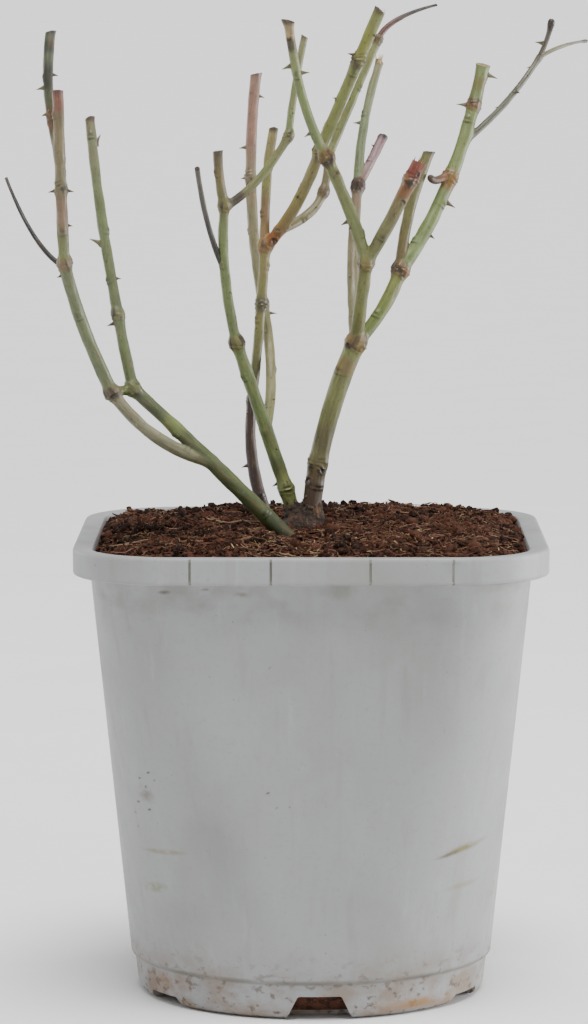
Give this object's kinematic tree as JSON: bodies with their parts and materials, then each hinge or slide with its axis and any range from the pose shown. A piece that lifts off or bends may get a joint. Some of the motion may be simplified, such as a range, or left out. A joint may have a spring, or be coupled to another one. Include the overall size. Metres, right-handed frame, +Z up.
{
  "type": "potted rose bush",
  "caption": "Bare, hard-pruned rose bush: thorny green canes rising from dark peaty soil in a grey plastic nursery pot with a square rim and a round slotted foot.",
  "frame": {"origin": "the middle of the pot's flat underside, on the pot's axis", "axes": "+Z up along the pot's axis, -Y the front with the wide drain slot, +X to the right of the front; the rim's straight sides face X and Y"},
  "size_m": [0.2377, 0.19, 0.4036],
  "materials": {
    "pot_plastic": "weathered matt",
    "potting_soil": "coarse and crumbly",
    "collar_bark": "rough bark",
    "cane_bark": "smooth green bark",
    "twig_bark": "dry thin bark"
  },
  "bodies": {
    "root": {"pot": "pot_plastic", "potting_soil": "potting_soil", "root_collar": "collar_bark", "stem_right": "cane_bark", "stem_middle": "cane_bark", "stem_left": "cane_bark", "stem_rear": "cane_bark", "shoot_left_inner_low": "cane_bark", "shoot_left_inner": "cane_bark", "bough_left_old": "cane_bark", "shoot_left_outer_low": "cane_bark", "shoot_left_outer": "cane_bark", "shoot_left_tall": "cane_bark", "bridge_left": "cane_bark", "shoot_middle": "cane_bark", "shoot_middle_top": "cane_bark", "shoot_crossing_low": "cane_bark", "shoot_crossing": "cane_bark", "bough_back": "cane_bark", "shoot_back": "cane_bark", "bough_centre": "cane_bark", "shoot_centre": "cane_bark", "bough_sunward_low": "cane_bark", "bough_sunward": "cane_bark", "bough_shaded_low": "cane_bark", "bough_shaded_knee": "cane_bark", "bough_shaded": "cane_bark", "bough_right_front": "cane_bark", "bough_right": "cane_bark", "bough_right_rear": "cane_bark", "shoot_right_rear": "cane_bark", "spur_right_rear": "cane_bark", "bough_leaning_low": "cane_bark", "bough_leaning": "cane_bark", "spur_right_front": "cane_bark", "shoot_right_inner": "cane_bark", "bough_right_upper": "cane_bark", "spur_right": "cane_bark", "shoot_right_slender": "cane_bark", "twig_left_dead": "twig_bark", "twig_middle_dead": "twig_bark", "twig_top": "twig_bark", "twig_right_bud": "twig_bark", "twig_right_tip": "twig_bark"}
  },
  "joints": []
}
